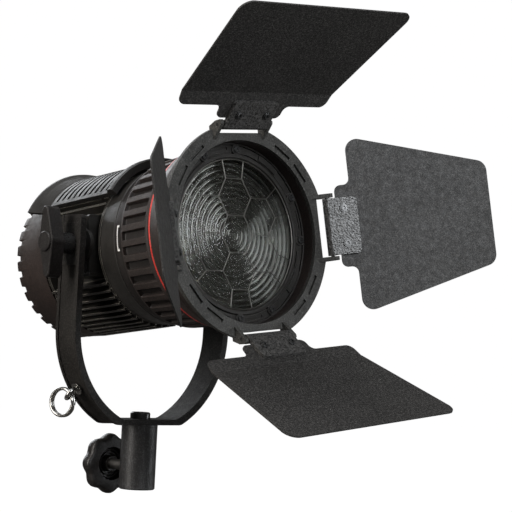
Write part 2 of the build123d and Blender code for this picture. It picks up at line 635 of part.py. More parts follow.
with BuildPart() as front_barrel:
    revolve(outline([
        (GUIDE_TUBE_OUTER + FIT, BARREL_REAR), (69.0, BARREL_REAR), (69.6, BARREL_REAR + 0.8),
        (72.2, 98.0), (72.4, 103.2), (71.9, 103.8), (JOURNAL_R, 104.0), (JOURNAL_R, BARREL_FRONT),
        (MOUTH_R, BARREL_FRONT), (MOUTH_R, BEZEL_REAR - FIT), (LENS_R + 0.1, BEZEL_REAR - FIT),
        (LENS_R + 0.1, LENS_REAR - 0.4), (GUIDE_TUBE_INNER, LENS_REAR - 0.4), (GUIDE_TUBE_INNER, 93.5),
        (GUIDE_TUBE_OUTER + FIT, 93.5)]), axis=HEAD_AXIS)
save(front_barrel, "front_barrel")

# ---- fresnel lens: flat back, central boss and concentric sloping zones on the front
LENS_STEP_TOP, ZONES, ZONE_FIRST = 100.0, 11, 8.6
ZONE_PITCH = (57.4 - ZONE_FIRST) / ZONES


def fresnel_profile():
    """Radial profile of the lens, from the axis outwards along the stepped front."""
    points = [(0.0, LENS_REAR), (0.0, LENS_STEP_TOP), (4.0, LENS_STEP_TOP - 0.2),
              (ZONE_FIRST, LENS_STEP_TOP - 0.8)]
    for zone in range(ZONES):
        inner = ZONE_FIRST + ZONE_PITCH * zone
        fall = 0.9 + 0.6 * zone / ZONES
        points += [(inner + 0.15, LENS_STEP_TOP), (inner + ZONE_PITCH, LENS_STEP_TOP - fall)]
    return points + [(57.5, LENS_STEP_TOP + 0.4), (LENS_R, LENS_STEP_TOP + 0.4), (LENS_R, LENS_REAR)]


with BuildPart() as fresnel_lens:
    revolve(outline(fresnel_profile()), axis=HEAD_AXIS)
save(fresnel_lens, "fresnel_lens")

# ---- stepped bezel that holds the lens, its eight screws, and the wire guard
SCREW_CIRCLE = 63.4
SCREWS_A, SCREWS_B, BARS = (0, 90, 180, 270), (30, 120, 210, 300), (60, 150, 240, 330)
BEZEL_FACE, BOSS_FACE = 104.0, 105.4


def arc_band(inner, outer, start, arc, plane):
    """Flat curved bar between two radii."""
    with BuildSketch(plane) as band:
        with BuildLine():
            low = CenterArc((0, 0), inner, start, arc)
            high = CenterArc((0, 0), outer, start, arc)
            Line(low @ 0, high @ 0)
            Line(low @ 1, high @ 1)
        make_face()
    return band.sketch


with BuildPart() as bezel:
    revolve(outline([
        (BEZEL_BORE, BEZEL_REAR), (BEZEL_BORE, 104.6), (57.6, 105.2), (59.6, 105.2), (60.0, 104.8),
        (60.0, 103.0), (61.2, 103.0), (61.2, BEZEL_FACE), (66.2, BEZEL_FACE), (66.2, 102.6),
        (67.0, 102.6), (67.0, 104.8), (MOUTH_R - FIT, 104.8), (MOUTH_R - FIT, BEZEL_REAR)]), axis=HEAD_AXIS)
    with BuildSketch(head_plane(102.8)):
        for boss_angle in SCREWS_A + SCREWS_B:
            with Locations(Rotation(0, 0, boss_angle)):
                with Locations((SCREW_CIRCLE, 0)):
                    Circle(4.0)
        Circle(MOUTH_R - FIT, mode=Mode.INTERSECT)
    extrude(amount=BOSS_FACE - 102.8)
    for bar_angle in BARS:
        extrude(arc_band(61.6, 65.6, bar_angle - 9, 18, head_plane(BEZEL_FACE - 0.5)), amount=2.0)
    for screw_angle in SCREWS_A:
        extrude(arc_band(63.0, 65.2, screw_angle + 7, 14, head_plane(BEZEL_FACE - 1.2)), amount=5,
                mode=Mode.SUBTRACT)
        extrude(arc_band(61.2, 63.0, screw_angle - 20, 12, head_plane(BEZEL_FACE - 0.5)), amount=1.5)
    with BuildSketch(head_plane(BEZEL_REAR + 0.6)):
        for hole_angle in SCREWS_A + SCREWS_B:
            with Locations(Rotation(0, 0, hole_angle)):
                with Locations((SCREW_CIRCLE, 0)):
                    Circle(1.5 + FIT)
    extrude(amount=6, mode=Mode.SUBTRACT)
save(bezel, "bezel")

with BuildPart() as bezel_screws:
    for head_angle in SCREWS_A + SCREWS_B:
        seat = shifted(head_plane(BOSS_FACE + FIT, turn=head_angle), SCREW_CIRCLE)
        extrude(disc(seat, 2.7), amount=1.3)
        extrude(disc(seat.offset(-4.0), 1.5), amount=4.2)
        with BuildSketch(seat.offset(0.5)):
            RegularPolygon(1.2, 6)
        extrude(amount=2, mode=Mode.SUBTRACT)
save(bezel_screws, "bezel_screws")

CELL = 16.0  # side of a honeycomb cell
WIRE = 1.1
GUARD_TURN = 2.5
GUARD_STATION = 103.0


def honeycomb_edges():
    """Edges of seven hexagonal cells and the spokes that tie them to the rim."""
    centres = [(0.0, 0.0)] + [(CELL * sqrt(3) * cos(radians(a)), CELL * sqrt(3) * sin(radians(a)))
                              for a in range(30, 390, 60)]
    edges = set()
    for x, y in centres:
        corners = [(round(x + CELL * cos(radians(a)), 3), round(y + CELL * sin(radians(a)), 3))
                   for a in range(0, 360, 60)]
        edges |= {tuple(sorted((corners[i], corners[i - 1]))) for i in range(6)}
    ends = [point for edge in edges for point in edge]
    spokes = []
    for x, y in sorted(set(ends)):
        reach = sqrt(x * x + y * y)
        if reach > 2.3 * CELL and ends.count((x, y)) == 2:
            grow = (BEZEL_BORE - 0.6) / reach
            spokes.append(((x, y), (x * grow, y * grow)))
    return sorted(edges) + spokes


with BuildPart() as wire_guard:
    with BuildSketch(head_plane(GUARD_STATION, turn=GUARD_TURN)):
        Circle(BEZEL_BORE - 0.1)
        Circle(BEZEL_BORE - 1.5, mode=Mode.SUBTRACT)
        for (x0, y0), (x1, y1) in honeycomb_edges():
            run = sqrt((x1 - x0) ** 2 + (y1 - y0) ** 2)
            lean = degrees(atan((y1 - y0) / (x1 - x0))) if abs(x1 - x0) > 1e-6 else 90.0
            with Locations(Location(((x0 + x1) / 2, (y0 + y1) / 2, 0), (0, 0, lean))):
                SlotOverall(run + WIRE, WIRE)
    extrude(amount=WIRE)
save(wire_guard, "wire_guard")

# =====================================================================================
# LED carriage: slides on the guide rods, driven by the focus ring
# =====================================================================================
with BuildPart() as carriage_plate:
    with BuildSketch(head_plane(CARRIAGE)):
        Circle(48.5)
        with Locations((-ROD_SIDE, 0), (ROD_SIDE, 0)):
            Circle(ROD_R + FIT, mode=Mode.SUBTRACT)
        with PolarLocations(38, 6, start_angle=30):
            Circle(5, mode=Mode.SUBTRACT)
    extrude(amount=4)
    # arm that carries the drive pin
    with BuildSketch(head_plane(CARRIAGE + 3.9, up=-45.5)):
        Rectangle(9, 5)
    extrude(amount=DRIVE_PIN + 4 - CARRIAGE - 3.9)
save(carriage_plate, "carriage_plate")

with BuildPart() as drive_pin:
    with BuildSketch(Plane(origin=head_point(0, -48.05, DRIVE_PIN), x_dir=(1, 0, 0), z_dir=-HEAD_UP)):
        Circle(PIN_R)
    extrude(amount=60.4 - 48.05)
    with BuildSketch(Plane(origin=head_point(0, -48.05, DRIVE_PIN), x_dir=(1, 0, 0), z_dir=-HEAD_UP)):
        Circle(3.4)
    extrude(amount=2.5)
save(drive_pin, "drive_pin")

SINK_R = 27.0
with BuildPart() as led_heat_sink:
    extrude(disc(head_plane(CARRIAGE - FIT), SINK_R), amount=-4)
    with BuildSketch(head_plane(CARRIAGE - 3.9)):
        with GridLocations(4.2, 1, 12, 1):
            Rectangle(1.4, 60)
        Circle(SINK_R, mode=Mode.INTERSECT)
    extrude(amount=-17)
save(led_heat_sink, "led_heat_sink")

with BuildPart() as cob_board:
    with BuildSketch(head_plane(CARRIAGE + 4 + FIT)):
        RectangleRounded(24, 24, 1.5)
    extrude(amount=1.4)
save(cob_board, "cob_board")

with BuildPart() as cob_emitter:
    extrude(disc(head_plane(CARRIAGE + 5.5), 8.5), amount=0.8)
save(cob_emitter, "cob_emitter")

with BuildPart() as lamp_shroud:
    revolve(outline([
        (11.5, CARRIAGE + 6.4), (16.0, CARRIAGE + 12), (23.0, CARRIAGE + 19), (24.6, CARRIAGE + 19),
        (17.6, CARRIAGE + 11), (14.0, CARRIAGE + 6.4)]), axis=HEAD_AXIS)
    # three feet that stand on the plate
    with BuildSketch(head_plane(CARRIAGE + 4.1)):
        with PolarLocations(20, 3, start_angle=90):
            Rectangle(10, 4)
    extrude(amount=3.4)
    extrude(annulus(CARRIAGE + 6.4, 17.5, 12.5), amount=1.5)
save(lamp_shroud, "lamp_shroud")

FAN_FRONT, FAN_DEPTH = CARRIAGE - 21.2, 14.0
with BuildPart() as fan_frame:
    with BuildSketch(head_plane(FAN_FRONT)):
        RectangleRounded(56, 56, 4)
        Circle(26.5, mode=Mode.SUBTRACT)
    extrude(amount=-FAN_DEPTH)
    with BuildSketch(head_plane(FAN_FRONT - FAN_DEPTH)):
        Circle(11.5)
        for strut in (45, 135, 225, 315):
            with Locations(Rotation(0, 0, strut)):
                with Locations((19, 0)):
                    Rectangle(17, 3)
    extrude(amount=1.6)
save(fan_frame, "fan_frame")

with BuildPart() as fan_rotor:
    extrude(disc(head_plane(FAN_FRONT - FAN_DEPTH + 2.2), 10.5), amount=10.5)
    for blade in range(7):
        blade_plane = shifted(head_plane(FAN_FRONT - 6.5, turn=blade * 360 / 7), 17.5)
        with Locations(leaned(blade_plane, 38).location):
            Box(15.5, 12.0, 1.3)
save(fan_rotor, "fan_rotor")

# =====================================================================================
# Tilt handle
# =====================================================================================
HANDLE_NEAR, HANDLE_FAR = 87.5, 99.0
HANDLE_HALF = 27.0

with BuildPart() as tilt_handle:
    with BuildSketch(side_plane(-HANDLE_FAR)):
        with BuildLine():
            Polyline((3.2, HANDLE_HALF - 2), (8.0, 3.0), (8.0, -3.0), (3.2, -HANDLE_HALF + 2),
                     (-3.2, -HANDLE_HALF + 2), (-8.0, -3.0), (-8.0, 3.0), (-3.2, HANDLE_HALF - 2), close=True)
        make_face()
        Circle(8.5)
        with Locations((0, HANDLE_HALF - 3.2), (0, -HANDLE_HALF + 3.2)):
            Circle(3.2)
    extrude(amount=HANDLE_FAR - HANDLE_NEAR)
    chamfer(tilt_handle.faces().sort_by(Axis.X)[0].outer_wire().edges(), 0.7)
    with Locations(side_plane(-HANDLE_NEAR).location):
        Cylinder(4.0 + FIT, 12, mode=Mode.SUBTRACT)
save(tilt_handle, "tilt_handle")

with BuildPart() as handle_cap:
    with BuildSketch(side_plane(-HANDLE_FAR - FIT)):
        Circle(7.6)
    extrude(amount=-1.6)
    chamfer(handle_cap.edges().group_by(Axis.X)[0], 0.6)
save(handle_cap, "handle_cap")

STEM_COLLAR_END = YOKE_OUTSIDE + 0.4
with BuildPart() as handle_stem:
    with Locations(side_plane(-(HANDLE_NEAR + 5 + 55) / 2).location):
        Cylinder(4.0, HANDLE_NEAR + 5 - 55)
    with Locations(side_plane(-(HANDLE_NEAR - FIT + STEM_COLLAR_END) / 2).location):
        Cylinder(8.0, HANDLE_NEAR - FIT - STEM_COLLAR_END)
save(handle_stem, "handle_stem")

# =====================================================================================
# Barn doors: a frame that turns on the barrel, and four hinged doors
# =====================================================================================
DOOR_TURNS = {"top": 0, "left": 90, "bottom": 180, "right": 270}
DOOR_OPEN = {"top": 46.4, "left": 45.4, "bottom": 44.0, "right": 30.7}
COLLAR_BORE, COLLAR_R = 72.05, 73.35
SLOT_DEPTH = 2.3
EAR_SHAPE = [(68.4, FLANGE_FRONT - 1), (68.4, FLANGE_FRONT + 0.2), (78.4, 128.0), (80.4, 128.3), (81.8, 126.6),
             (81.6, 121.5), (78.8, FLANGE_REAR), (72.8, FLANGE_REAR)]


def pin_plane(turn):
    """Plane at a hinge pin's middle: x along the pin, y outwards, z forward."""
    plane = head_plane(PIN_FORWARD, turn=DOOR_TURN + turn)
    return Plane(origin=plane.origin + plane.y_dir * PIN_FROM_AXIS, x_dir=plane.x_dir, z_dir=HEAD_FORWARD)


def across_pin(turn, shift):
    """Plane square to a hinge pin; x is the radius and y runs forward."""
    pin = pin_plane(turn)
    axis_point = head_point(0, 0, 0)
    return Plane(origin=axis_point + pin.x_dir * shift, x_dir=pin.y_dir, z_dir=pin.y_dir.cross(HEAD_FORWARD))


with BuildPart() as barndoor_frame:
    with BuildSketch(head_plane(FLANGE_REAR, turn=DOOR_TURN)):
        Circle(FLANGE_R)
        Circle(MOUTH_R, mode=Mode.SUBTRACT)
        for flat in (0, 90, 180, 270):
            with Locations(Rotation(0, 0, flat)):
                with Locations((FLANGE_FLAT + 10, 0)):
                    Rectangle(20, 2 * EAR_INSIDE + 2, mode=Mode.SUBTRACT)
    extrude(amount=FLANGE_FRONT - FLANGE_REAR)
    # blind slots in the flange's face
    with BuildSketch(head_plane(FLANGE_FRONT, turn=DOOR_TURN)):
        for slot in range(0, 360, 90):
            for slot_angle in (slot + 36, slot + 54):
                with Locations(Rotation(0, 0, slot_angle)):
                    with Locations((72.4, 0)):
                        Rectangle(2.6, 17)
    extrude(amount=-SLOT_DEPTH, mode=Mode.SUBTRACT)
    extrude(annulus(104.4, COLLAR_R, COLLAR_BORE), amount=FLANGE_REAR - 104.4)
    for ear_turn in DOOR_TURNS.values():
        for ear_side in (-1, 1):
            middle = ear_side * (EAR_INSIDE + EAR_THICKNESS / 2)
            with BuildSketch(across_pin(ear_turn, middle)):
                with BuildLine():
                    Polyline(*EAR_SHAPE, close=True)
                make_face()
            extrude(amount=EAR_THICKNESS / 2, both=True)
        pin_axis = pin_plane(ear_turn)
        with Locations(Plane(origin=pin_axis.origin, z_dir=pin_axis.x_dir).location):
            Cylinder(PIN_RADIUS + FIT, 2 * (EAR_INSIDE + EAR_THICKNESS) + 4, mode=Mode.SUBTRACT)
save(barndoor_frame, "barndoor_frame")

with BuildPart() as hinge_pins:
    for pin_turn in DOOR_TURNS.values():
        pin_axis = pin_plane(pin_turn)
        with Locations(Plane(origin=pin_axis.origin, z_dir=pin_axis.x_dir).location):
            Cylinder(PIN_RADIUS, 2 * (EAR_INSIDE + EAR_THICKNESS) - 0.4)
save(hinge_pins, "hinge_pins")

NECK_START, NECK_HALF, NECK_FILLET = 6.6, 31.5, 5.0
BRACKET_END, BRACKET_THICKNESS, KNUCKLE_R = 22.5, 2.95, 3.6
DOOR_SCREW_AT, DOOR_SCREW_SPACING = 11.4, 27.2
BEND_AT, BEND = 29.5, 15.6


def door_plane(name, further=0.0, distance=0.0):
    """Plane of a door's sheet: x along the pin, y out along the sheet, z towards the beam."""
    pin = pin_plane(DOOR_TURNS[name])
    lean = radians(DOOR_OPEN[name])
    along = pin.y_dir * cos(lean) + HEAD_FORWARD * sin(lean)
    origin = pin.origin + along * distance
    lean += radians(further)
    along = pin.y_dir * cos(lean) + HEAD_FORWARD * sin(lean)
    return Plane(origin=origin, x_dir=pin.x_dir, z_dir=pin.x_dir.cross(along))


def neck_and_leaf(plane, start, inner_half, end, outer_half, corner, outer_corner):
    """Sheet outline: a neck for the bracket, then the leaf with rounded corners."""
    with BuildSketch(plane) as sheet:
        with BuildLine():
            Polyline(
                (-NECK_HALF, NECK_START), (NECK_HALF, NECK_START), (NECK_HALF, start), (inner_half, start),
                (outer_half, end), (-outer_half, end), (-inner_half, start), (-NECK_HALF, start), close=True)
        make_face()
        neck = sheet.vertices().filter_by(lambda v: abs(abs(v.X) - NECK_HALF) < 0.01)
        fillet(neck, NECK_FILLET)
        shoulders = sheet.vertices().filter_by(
            lambda v: abs(v.Y - start) < 0.01 and abs(abs(v.X) - inner_half) < 0.01)
        fillet(shoulders, corner)
        if outer_corner:
            fillet(sheet.vertices().filter_by(lambda v: abs(v.Y - end) < 0.01), outer_corner)
    return sheet.sketch


def flat_door(name):
    """Side door: one flat sheet that narrows outwards."""
    with BuildPart() as door:
        plane = door_plane(name)
        extrude(neck_and_leaf(plane, 19.0, 68.5, 130.7, 39.5, 9.0, 9.0), amount=SHEET / 2, both=True)
        drill(door, plane)
    return door


def bent_door(name):
    """Top or bottom door: a sheet bent slightly towards the beam, widening outwards."""
    with BuildPart() as door:
        plane = door_plane(name)
        extrude(neck_and_leaf(plane, 17.6, 72.6, BEND_AT, 74.4, 6.5, 0), amount=SHEET / 2, both=True)
        outer = door_plane(name, BEND, BEND_AT)
        with BuildSketch(outer) as leaf:
            with BuildLine():
                Polyline((-74.4, 0), (74.4, 0), (84.5, 93.4), (-84.5, 93.4), close=True)
            make_face()
            fillet(leaf.vertices().filter_by(lambda v: v.Y > 50), 9.0)
        extrude(amount=SHEET / 2, both=True)
        with Locations(Plane(origin=outer.origin, z_dir=outer.x_dir).location):
            Cylinder(SHEET / 2, 2 * 74.3)
        drill(door, plane)
    return door


def drill(door, plane):
    """Screw holes shared by a door's sheet and its bracket."""
    for screw in (-1, 1):
        hole = plane.origin + plane.x_dir * screw * DOOR_SCREW_SPACING / 2 + plane.y_dir * DOOR_SCREW_AT
        with Locations(Plane(origin=hole, z_dir=plane.z_dir).location):
            Cylinder(1.5 + FIT, 12, mode=Mode.SUBTRACT)


def door_bracket(name):
    """Hinge bracket: a plate screwed to the sheet, curled round the pin."""
    with BuildPart() as bracket:
        plane = door_plane(name)
        with BuildSketch(plane.offset(SHEET / 2 + FIT)) as plate:
            with Locations((0, BRACKET_END / 2)):
                Rectangle(2 * BRACKET_HALF, BRACKET_END)
            fillet(plate.vertices().filter_by(lambda v: v.Y > 5), 3.0)
        extrude(amount=BRACKET_THICKNESS)
        with Locations(Plane(origin=plane.origin, z_dir=plane.x_dir).location):
            Cylinder(KNUCKLE_R, 2 * BRACKET_HALF)
            Cylinder(PIN_RADIUS + FIT, 2 * BRACKET_HALF + 2, mode=Mode.SUBTRACT)
        drill(bracket, plane)
    return bracket


def door_screws(name):
    """Two button-head screws with nuts behind the sheet."""
    with BuildPart() as screws:
        plane = door_plane(name)
        head_z = SHEET / 2 + BRACKET_THICKNESS + 2 * FIT
        for screw in (-1, 1):
            spot = plane.origin + plane.x_dir * screw * DOOR_SCREW_SPACING / 2 + plane.y_dir * DOOR_SCREW_AT
            seat = Plane(origin=spot, x_dir=plane.x_dir, z_dir=plane.z_dir)
            extrude(disc(seat.offset(head_z), 3.0), amount=1.0)
            extrude(disc(seat.offset(head_z + 1.0), 2.2), amount=0.7)
            with BuildSketch(seat.offset(head_z + 0.6)):
                RegularPolygon(1.3, 6)
            extrude(amount=2, mode=Mode.SUBTRACT)
            extrude(disc(seat.offset(-SHEET / 2 - 3.2), 1.5), amount=3.4 + SHEET + BRACKET_THICKNESS)
            with BuildSketch(seat.offset(-SHEET / 2 - FIT)):
                RegularPolygon(3.1, 6)
            extrude(amount=-2.2)
    return screws


for door_name in DOOR_TURNS:
    leaf_door = flat_door(door_name) if door_name in ("left", "right") else bent_door(door_name)
    save(leaf_door, f"door_{door_name}")
    save(door_bracket(door_name), f"door_bracket_{door_name}")
    save(door_screws(door_name), f"door_screws_{door_name}")
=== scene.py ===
import json
import math

import bmesh
import bpy
from mathutils import Matrix, Vector


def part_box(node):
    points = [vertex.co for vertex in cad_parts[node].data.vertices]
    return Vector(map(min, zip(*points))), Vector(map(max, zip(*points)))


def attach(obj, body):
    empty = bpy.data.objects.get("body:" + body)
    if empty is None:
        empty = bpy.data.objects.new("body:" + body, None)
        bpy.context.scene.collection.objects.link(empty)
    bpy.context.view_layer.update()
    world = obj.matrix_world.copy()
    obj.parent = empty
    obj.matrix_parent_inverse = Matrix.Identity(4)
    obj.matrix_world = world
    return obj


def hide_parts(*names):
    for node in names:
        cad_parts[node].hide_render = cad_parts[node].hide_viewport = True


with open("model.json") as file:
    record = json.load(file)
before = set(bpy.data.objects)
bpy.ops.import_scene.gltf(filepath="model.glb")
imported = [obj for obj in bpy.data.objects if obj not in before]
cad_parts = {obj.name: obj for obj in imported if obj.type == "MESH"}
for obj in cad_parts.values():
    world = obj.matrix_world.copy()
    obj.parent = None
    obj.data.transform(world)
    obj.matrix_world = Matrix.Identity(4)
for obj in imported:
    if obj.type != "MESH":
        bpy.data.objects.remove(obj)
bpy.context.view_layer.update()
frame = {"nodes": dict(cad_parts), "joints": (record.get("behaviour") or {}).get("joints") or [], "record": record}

MM = 0.001
SIDE = Vector((1, 0, 0))
JOINTS = {joint["name"]: joint for joint in frame["joints"]}
PIVOT = Vector(JOINTS["head_tilt"]["pos_m"])
FORWARD = Vector(JOINTS["focus_ring_turn"]["axis"]).normalized()
UP = FORWARD.cross(SIDE).normalized()
LENS_FIRST, LENS_PITCH = 8.6, 4.42
DUST = (0.22, 0.205, 0.185)


def head_at(side, up, forward):
    """A point in the tilted head's own frame, in millimetres from the tilt pivot."""
    return PIVOT + (SIDE * side + UP * up + FORWARD * forward) * MM


# =====================================================================================
# Materials
# =====================================================================================
class Shade:
    """A material's node tree, with short calls for the nodes used here."""

    def __init__(self, name):
        self.material = bpy.data.materials.new(name)
        self.material.use_nodes = True
        self.tree = self.material.node_tree
        self.shader = self.tree.nodes["Principled BSDF"]
        self.place = self.add("ShaderNodeTexCoord").outputs["Object"]

    def add(self, kind, links=(), **settings):
        """A new node; each setting is a property of the node or, failing that, an input's value."""
        node = self.tree.nodes.new(kind)
        for key, value in settings.items():
            if hasattr(node, key):
                setattr(node, key, value)
            else:
                node.inputs[key.replace("_", " ")].default_value = value
        for socket, source in dict(links).items():
            self.tree.links.new(source, node.inputs[socket])
        return node

    def noise(self, scale, detail=3.0, roughness=0.55, stretch=None):
        place = self.place
        if stretch:
            place = self.add("ShaderNodeMapping", {"Vector": place}, Scale=stretch).outputs[0]
        node = self.add("ShaderNodeTexNoise", {"Vector": place}, Scale=scale, Detail=detail,
                        Roughness=roughness)
        return node.outputs["Fac"]

    def cells(self, scale, feature="F1", randomness=1.0):
        node = self.add("ShaderNodeTexVoronoi", {"Vector": self.place}, feature=feature, Scale=scale,
                        Randomness=randomness)
        return node.outputs["Distance"]

    def spread(self, source, low, high, to_low=0.0, to_high=1.0):
        """Maps the span from low to high onto another one, clamped at both ends."""
        node = self.add("ShaderNodeMapRange", {"Value": source})
        for name, value in zip(("From Min", "From Max", "To Min", "To Max"), (low, high, to_low, to_high)):
            node.inputs[name].default_value = value
        return node.outputs["Result"]

    def maths(self, operation, first, second=0.0):
        node = self.add("ShaderNodeMath", operation=operation)
        for socket, value in zip(node.inputs, (first, second)):
            if isinstance(value, (int, float)):
                socket.default_value = value
            else:
                self.tree.links.new(value, socket)
        return node.outputs[0]

    def mix(self, factor, first, second, blend="MIX"):
        node = self.add("ShaderNodeMix", data_type="RGBA", blend_type=blend)
        sockets = (node.inputs[0], node.inputs[6], node.inputs[7])
        for socket, value in zip(sockets, (factor, first, second)):
            if isinstance(value, (int, float)):
                socket.default_value = value
            elif isinstance(value, tuple):
                socket.default_value = (*value, 1.0)
            else:
                self.tree.links.new(value, socket)
        return node.outputs[2]

    def from_pivot(self, operation, vector):
        """The place as seen from the tilt pivot, combined with that vector."""
        away = self.add("ShaderNodeVectorMath", {0: self.place}, operation="SUBTRACT")
        away.inputs[1].default_value = PIVOT
        node = self.add("ShaderNodeVectorMath", {0: away.outputs[0]}, operation=operation)
        node.inputs[1].default_value = vector
        return node

    def axis_distance(self):
        """Distance from the head's own axis at rest, in metres."""
        cross = self.from_pivot("CROSS_PRODUCT", FORWARD)
        return self.add("ShaderNodeVectorMath", {0: cross.outputs[0]}, operation="LENGTH").outputs["Value"]

    def soft_edges(self, radius):
        """Normal that rounds sharp edges off by that radius, and a mask that is 1 on those edges."""
        bevel = self.add("ShaderNodeBevel", samples=4, Radius=radius)
        flat = self.add("ShaderNodeNewGeometry").outputs["Normal"]
        match = self.add("ShaderNodeVectorMath", {0: bevel.outputs[0], 1: flat}, operation="DOT_PRODUCT")
        return bevel.outputs[0], self.spread(match.outputs["Value"], 0.98, 0.86)

    def bump(self, height, distance, normal=None):
        links = {"Height": height}
        if normal is not None:
            links["Normal"] = normal
        return self.add("ShaderNodeBump", links, Distance=distance, Strength=1.0).outputs[0]

    def link(self, **sockets):
        """Sets or links inputs of the Principled shader."""
        for name, value in sockets.items():
            socket = self.shader.inputs[name.replace("_", " ")]
            if isinstance(value, (int, float)):
                socket.default_value = value
            elif isinstance(value, tuple):
                socket.default_value = (*value, 1.0)
            else:
                self.tree.links.new(value, socket)


def lighter(colour, factor):
    """The colour times that factor, which darkens it when below one."""
    return tuple(min(1.0, channel * factor) for channel in colour)


def coated(name, colour, rough=0.5, grain=1400.0, depth=0.05, clouds=0.25, edge=2.2, radius=0.35,
           specular=0.4, specks=0.0, dust=0.06, grit=0.25, sunk=None):
    """Painted, enamelled or moulded surface: fine grain, cloudy tone, lighter edges that are partly rubbed wear
    and partly painted edge highlight, and a little dust.

    With sunk=(low, high) it paints shade into sunk floors: darker from that high to that low distance, in mm, from
    the head's axis.
    """
    shade = Shade(name)
    soft, worn_and_lit_edges = shade.soft_edges(radius * MM)
    cloud = shade.noise(28.0, 4.0)
    fine = shade.noise(grain, 2.0, 0.6)
    tone = shade.mix(shade.spread(cloud, 0.35, 0.65), lighter(colour, 1 - clouds),
                     lighter(colour, 1 + clouds))
    tone = shade.mix(1.0, tone, shade.spread(fine, 0.36, 0.64, 1 - grit, 1 + grit), "MULTIPLY")
    tone = shade.mix(shade.spread(fine, 0.54, 0.70, 0.0, specks), tone, lighter(colour, 4.5))
    # Lighter edges: rubbed wear plus a painted edge highlight, broken up by noise.
    rubbed_and_lit = shade.maths("MULTIPLY", worn_and_lit_edges, shade.spread(shade.noise(160.0, 4.0), 0.38, 0.62, 0.35, 1.0))
    tone = shade.mix(rubbed_and_lit, tone, lighter(colour, edge))
    # Painted shade in the pocket floors, darker nearer the head's axis.
    if sunk:
        shadow = shade.spread(shade.axis_distance(), sunk[0] * MM, sunk[1] * MM, 0.35, 1.0)
        tone = shade.mix(1.0, tone, shadow, "MULTIPLY")
    film = shade.spread(shade.noise(11.0, 5.0, 0.65), 0.52, 0.72, 0.0, dust)
    shade.link(Base_Color=shade.mix(film, tone, DUST),
               Roughness=shade.spread(shade.noise(240.0, 3.0), 0.3, 0.7, rough - 0.07, rough + 0.08),
               Specular_IOR_Level=specular,
               Normal=shade.bump(fine, depth * MM, soft))
    return shade.material


def hammertone(name, colour):
    """Hammered enamel: shallow dimples a millimetre or so across, glossy between them, with painted shade in their
    dips and painted highlight on their crests.
    """
    shade = Shade(name)
    soft, worn_and_lit_edges = shade.soft_edges(0.3 * MM)
    dimples = shade.cells(720.0, "SMOOTH_F1")
    crust = shade.noise(900.0, 2.0)
    height = shade.maths("ADD", dimples, shade.maths("MULTIPLY", crust, 0.6))
    # Darker in the dimple dips and lighter on the crests: painted shade and highlight over the hammered pattern.
    tone = shade.mix(shade.spread(height, 0.45, 0.95), lighter(colour, 0.3), lighter(colour, 2.6))
    # Lighter edges: rubbed wear plus a painted edge highlight.
    tone = shade.mix(shade.maths("MULTIPLY", worn_and_lit_edges, 0.6), tone, lighter(colour, 4.0))
    shade.link(Base_Color=tone, Roughness=shade.spread(crust, 0.3, 0.7, 0.24, 0.46),
               Specular_IOR_Level=0.5, Normal=shade.bump(height, 0.30 * MM, soft))
    return shade.material


def bare_metal(name, colour, rough=0.25, brushed=None, depth=0.01, radius=0.2, smudge=0.12):
    """Bare or plated metal with fine tool marks and uneven polish."""
    shade = Shade(name)
    soft, worn_and_lit_edges = shade.soft_edges(radius * MM)
    marks = shade.noise(1600.0, 3.0, 0.6, brushed or (1, 1, 1))
    film = shade.noise(70.0, 4.0)
    tone = shade.mix(shade.spread(film, 0.3, 0.7), lighter(colour, 0.8), lighter(colour, 1.1))
    # Lighter edges: painted edge highlight plus rubbed wear.
    shade.link(Base_Color=shade.mix(worn_and_lit_edges, tone, lighter(colour, 1.3)), Metallic=1.0,
               Roughness=shade.spread(film, 0.3, 0.7, rough, rough + smudge),
               Normal=shade.bump(marks, depth * MM, soft))
    return shade.material


def phosphor(name):
    """Yellow phosphor over a grid of tiny chips."""
    shade = Shade(name)
    grain = shade.noise(3500.0, 2.0)
    chips = shade.cells(520.0, "F1", 0.15)
    tone = shade.mix(shade.spread(chips, 0.2, 0.55), (0.62, 0.50, 0.12), (0.42, 0.33, 0.08))
    shade.link(Base_Color=shade.mix(shade.spread(grain, 0.4, 0.6, 0.0, 0.35), tone, (0.75, 0.66, 0.25)),
               Roughness=shade.spread(grain, 0.3, 0.7, 0.35, 0.55),
               Normal=shade.bump(grain, 0.03 * MM))
    return shade.material


def circuit_board(name):
    """Green solder mask with copper tracks that show through faintly."""
    shade = Shade(name)
    tracks = shade.add("ShaderNodeTexBrick", {"Vector": shade.place}, Scale=260.0).outputs["Fac"]
    grain = shade.noise(900.0, 2.0)
    tone = shade.mix(shade.maths("MULTIPLY", tracks, 0.45), (0.01, 0.085, 0.035), (0.05, 0.20, 0.09))
    shade.link(Base_Color=tone, Roughness=shade.spread(grain, 0.3, 0.7, 0.28, 0.42),
               Normal=shade.bump(tracks, 0.03 * MM))
    return shade.material


